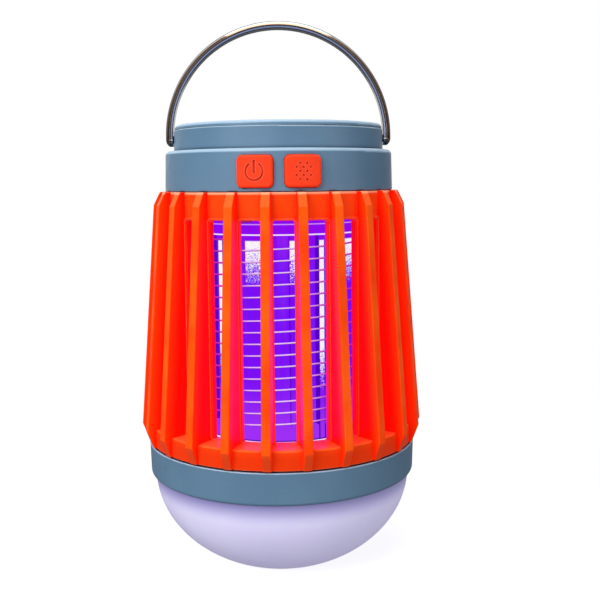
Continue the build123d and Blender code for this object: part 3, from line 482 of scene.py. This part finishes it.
def frame_plastic():
    """Grid frame lit from inside: its posts burn white near the top and sink into violet lower down."""
    made, g = material("frame_plastic")
    height = g.height()
    speckle = g.span(g.noise(1 / (0.30 * MM), 1), 0.30, 0.70)
    # degrees from a point to the middle of the nearest slim post
    turn = g.math("SUBTRACT", g.azimuth(), SLIM_POST_AZIMUTH)
    aside = g.math("ABSOLUTE", g.math("WRAP", turn, POST_PERIOD / 2, -POST_PERIOD / 2))
    slim = g.span(aside, 5.0, 4.0)
    # the share of white speckle grows upwards, sooner on the slim posts than on the wide ones
    wide_share = g.span(height, CAGE_TOP - 29 * MM, CAGE_TOP - 15 * MM)
    slim_share = g.span(height, CAGE_TOP - 62 * MM, CAGE_TOP - 44 * MM)
    share = g.math("ADD", g.math("MULTIPLY", wide_share, g.math("SUBTRACT", 1.0, slim)),
                   g.math("MULTIPLY", slim_share, slim))
    gate = g.math("SUBTRACT", 1.0, share)
    grains = g.span(g.math("SUBTRACT", speckle, gate), -0.12, 0.12)
    below_collar = g.span(height, POST_TOP + 0.2 * MM, POST_TOP - 0.2 * MM)
    white = g.math("MULTIPLY", g.math("MULTIPLY", grains, below_collar), g.span(share, 0.0, 0.1))
    post = g.mix(white, violet_by_height(g), srgb(255, 248, 255))
    # painted shade in thin lines along both sides of the slim posts
    post_side_shade = g.math("MULTIPLY", g.band(aside, 1.75, 2.6, 0.2), below_collar)
    post = g.mix(post_side_shade, post, srgb(58, 0, 140))
    # painted highlights along the plate's rim and the collars' edges, and a painted shade line just above
    # the foot collar's edge
    soft = 0.1 * MM
    plate_line = g.band(height, PLATE_RIM, PLATE_RIM + 0.30 * MM, soft)
    head_line = g.band(height, HEAD_COLLAR, HEAD_COLLAR + 0.40 * MM, soft)
    foot_line = g.band(height, FOOT_COLLAR, FOOT_COLLAR + 0.55 * MM, soft)
    foot_shade = g.band(height, FOOT_COLLAR + 0.60 * MM, FOOT_COLLAR + 0.95 * MM, soft)
    post = g.mix(g.math("MULTIPLY", plate_line, 0.55), post, srgb(255, 190, 255))
    post = g.mix(g.math("MAXIMUM", head_line, foot_line), post, srgb(255, 226, 255))
    post = g.mix(foot_shade, post, srgb(70, 10, 150))
    # painted shade on the posts' upright sides
    upright = g.span(g.math("ABSOLUTE", g.up()), 0.7, 0.3)
    shaded_flank = g.math("MULTIPLY", g.span(g.outward(), 0.7, 0.3), upright)
    post = g.mix(shaded_flank, post, srgb(84, 0, 190))
    g.output(g.either(0.04, lit(g, post, srgb(130, 40, 255), 1.5), violet_skin(g, 0.35)))
    return made


def tray_plastic():
    """Pale tray flooded with violet light."""
    made, g = material("tray_plastic")
    seen = g.mix(g.patches(150), srgb(150, 60, 250), srgb(172, 84, 255))
    # its outermost rim, under the cage's wall, stays dark
    unlit = g.span(g.radius(), 35.5 * MM, 37.5 * MM, 0.3, 1.0)
    g.output(g.either(unlit, lit(g, seen, srgb(130, 40, 255), 1.5), violet_skin(g, 0.4)))
    return made


def grid_wire_steel():
    """Bare drawn wire in the violet light, with painted light: a pale painted highlight on top, painted
    shade underneath and magenta round the sides.
    """
    made, g = material("grid_wire_steel")
    marks = g.noise(900, 3)
    aside = g.math("ABSOLUTE", g.azimuth())
    # a painted highlight, pale pink near the front and turning magenta between 10 and 34 degrees round the
    # sides, then painted shade underneath and where the wire is seen edge on
    pale = g.mix(g.span(aside, 10.0, 34.0), srgb(255, 214, 250), srgb(206, 40, 196))
    tone = g.mix(g.span(g.up(), 0.05, -0.45), pale, srgb(88, 0, 168))
    tone = g.mix(g.span(g.askew(), 0.85, 1.0, 0.0, 0.4), tone, srgb(110, 0, 190))
    tone = g.mix(g.span(marks, 0.35, 0.7, 0.0, 0.15), tone, srgb(180, 60, 220))
    steel = g.principled(
        Base_Color=srgb(226, 196, 236),
        Metallic=1.0,
        Roughness=g.span(marks, 0.3, 0.7, 0.22, 0.36),
        Normal=g.bump(marks, 0.01 * MM),
    )
    g.output(g.either(0.2, lit(g, tone, srgb(150, 30, 230), 1.0), steel))
    return made


def metal(name, colour, rough):
    """Plated or bright metal with small wear marks."""
    made, g = material(name)
    marks = g.noise(700, 4)
    g.surface(
        Base_Color=varied(g, colour, 0.12, 400),
        Metallic=1.0,
        Roughness=g.span(marks, 0.3, 0.7, rough - 0.06, rough + 0.1),
        Normal=g.bump(marks, 0.01 * MM),
    )
    return made


def circuit_board(name, mask, track):
    """Solder mask over fine copper tracks."""
    made, g = material(name)
    grid = g.node("ShaderNodeTexBrick", {"Vector": g.place(), "Scale": 260.0, "Mortar Size": 0.04})
    lines = g.math("MULTIPLY", grid.outputs["Fac"], g.span(g.noise(120, 2), 0.45, 0.55))
    g.surface(
        Base_Color=g.mix(lines, mask, track),
        Roughness=0.35,
        Normal=g.bump(lines, 0.02 * MM),
    )
    return made


def lamp(name, colour, strength):
    """A light-emitting diode's lens."""
    made, g = material(name)
    g.surface(
        Base_Color=varied(g, colour, 0.08, 800),
        Roughness=0.25,
        Emission_Color=colour,
        Emission_Strength=strength,
        Normal=grain(g, 0.2 * MM, 0.005 * MM),
    )
    return made


MATERIALS = {
    "cap_plastic": cap_plastic(),
    "cage_plastic": cage_plastic(),
    "handle_steel": handle_steel(),
    "button_rubber": button_rubber(),
    "plunger_plastic": moulded("plunger_plastic", srgb(226, 226, 220)),
    "black_plastic": moulded("black_plastic", srgb(34, 34, 36), 0.4),
    "circuit_board": circuit_board("circuit_board", srgb(24, 92, 52), srgb(60, 140, 84)),
    "lamp_board_white": circuit_board("lamp_board_white", srgb(232, 232, 228), srgb(205, 205, 205)),
    "port_steel": metal("port_steel", srgb(190, 190, 192), 0.3),
    "port_rubber": moulded("port_rubber", srgb(74, 96, 116), 0.6, 0.06, 0.25 * MM, 0.01 * MM),
    "cell_wrap": moulded("cell_wrap", srgb(44, 92, 160), 0.2, 0.04),
    "nickel": metal("nickel", srgb(196, 190, 176), 0.3),
    "tray_plastic": tray_plastic(),
    "inner_plastic": moulded("inner_plastic", srgb(58, 58, 64), 0.45),
    "red_insulation": moulded("red_insulation", srgb(176, 30, 28), 0.5),
    "screw_steel": metal("screw_steel", srgb(170, 170, 170), 0.32),
    "frame_plastic": frame_plastic(),
    "grid_wire_steel": grid_wire_steel(),
    "terminal_brass": metal("terminal_brass", srgb(214, 176, 96), 0.28),
    "tube_plastic": tube_plastic(),
    "violet_led": lamp("violet_led", srgb(140, 60, 255), 4.0),
    "white_led": lamp("white_led", srgb(244, 240, 200), 0.0),
    "seal_rubber": moulded("seal_rubber", srgb(40, 40, 42), 0.65),
    "dome_plastic": dome_plastic(),
}


def dress_nodes():
    """Each CAD node takes the material of its slot."""
    slots = {part["node"]: part["material_slot"] for part in frame["record"]["subparts"]}
    for name, node in frame["nodes"].items():
        node.data.materials.clear()
        node.data.materials.append(MATERIALS[slots[name]])


def make_floor():
    """A plain pale floor that fades into the white backdrop."""
    bpy.ops.mesh.primitive_circle_add(vertices=96, radius=FLOOR_RADIUS, fill_type="NGON")
    floor = bpy.context.object
    floor.name = "floor"
    made, g = material("floor_paper")
    paper = g.node("ShaderNodeBsdfDiffuse", {
        "Color": varied(g, (0.34, 0.34, 0.35, 1), 0.01, 5), "Roughness": 0.9,
    }).outputs[0]
    near = g.node("ShaderNodeAddShader", {0: paper, 1: g.emission(WHITE, 0.80)}).outputs[0]
    seen = g.either(g.span(g.radius(), FADE_START, FADE_END), near, g.emission(WHITE, 1.0))
    bounce = g.emission((0.52, 0.52, 0.58, 1), 0.35)
    g.output(g.either(g.node("ShaderNodeLightPath").outputs["Is Camera Ray"], bounce, seen))
    floor.data.materials.append(made)


def make_world():
    """White backdrop. Reflections see a white card at the back, brown-grey walls and a blue-grey front.

    Everything else is lit softly, most from above and from behind.
    """
    world = bpy.data.worlds.new("studio")
    bpy.context.scene.world = world
    g = Graph(world)
    direction = g.node("ShaderNodeTexCoord").outputs["Generated"]
    left_right, depth, up = g.parts(direction)
    paths = g.node("ShaderNodeLightPath").outputs
    card = g.dot(direction, (-0.10, 0.80, 0.59))
    walls = g.mix(g.span(card, -0.1, 0.45), srgb(34, 30, 32), srgb(112, 102, 96))
    walls = g.mix(g.span(depth, -0.35, -0.8), walls, srgb(122, 134, 164))
    walls = g.mix(g.span(card, 0.60, 0.76), walls, (0.92, 0.92, 0.92, 1))
    soft = g.mix(g.span(up, -0.2, 0.9), (0.30, 0.31, 0.36, 1), (0.95, 0.97, 1.0, 1))
    soft = g.mix(g.span(left_right, -0.2, 0.8, 0.0, 0.5), soft, (0.25, 0.27, 0.31, 1))
    soft = g.mix(g.span(depth, 0.15, 0.9), soft, (1.9, 1.9, 1.95, 1))
    unseen = g.mix(paths["Is Glossy Ray"], soft, walls)
    colour = g.mix(paths["Is Camera Ray"], unseen, WHITE)
    full = g.math("MAXIMUM", paths["Is Camera Ray"], paths["Is Glossy Ray"])
    power = g.math("MAXIMUM", full, 0.52)
    g.output(g.node("ShaderNodeBackground", {"Color": colour, "Strength": power}).outputs[0])


def add_softbox(name, position, target, width, tall, power):
    """A rectangular area light of width by tall metres and power watts, turned towards target."""
    light = bpy.data.lights.new(name, "AREA")
    light.shape = "RECTANGLE"
    light.size = width
    light.size_y = tall
    light.energy = power
    thing = bpy.data.objects.new(name, light)
    bpy.context.scene.collection.objects.link(thing)
    thing.location = position
    thing.rotation_euler = (Vector(target) - Vector(position)).to_track_quat("-Z", "Y").to_euler()


def make_lights():
    middle = (0, 0, CAGE_TOP * 0.75)
    add_softbox("key", (-0.45, -0.55, 0.50), middle, 0.45, 0.45, 4.7)
    add_softbox("fill", (0.60, -0.35, 0.15), middle, 0.40, 0.60, 0.95)
    add_softbox("top", (0.0, 0.05, 0.75), middle, 0.60, 0.60, 2.3)
    add_softbox("low", (0.0, -0.60, 0.03), middle, 0.60, 0.20, 0.75)


def make_camera():
    """The camera at the photograph's viewing angle."""
    yaw, pitch, roll = CAMERA_YAW, CAMERA_PITCH, CAMERA_ROLL
    ahead = Vector((math.sin(yaw), math.cos(yaw), 0))
    forward = ahead * math.cos(pitch) + Vector((0, 0, -math.sin(pitch)))
    level_right = Vector((math.cos(yaw), -math.sin(yaw), 0))
    level_up = level_right.cross(forward)
    right = level_right * math.cos(roll) - level_up * math.sin(roll)
    up = level_right * math.sin(roll) + level_up * math.cos(roll)
    data = bpy.data.cameras.new("camera")
    data.lens = LENS_MM
    data.sensor_width = SENSOR_MM
    data.clip_start = 0.01
    camera = bpy.data.objects.new("camera", data)
    bpy.context.scene.collection.objects.link(camera)
    turn = Matrix((right, up, -forward)).transposed().to_4x4()
    camera.matrix_world = Matrix.Translation((0, -CAMERA_DISTANCE, CAGE_TOP + CAMERA_RISE)) @ turn
    bpy.context.scene.camera = camera


dress_nodes()
make_floor()
make_world()
make_lights()
make_camera()
bpy.context.scene.view_settings.view_transform = "Standard"
bpy.context.view_layer.update()
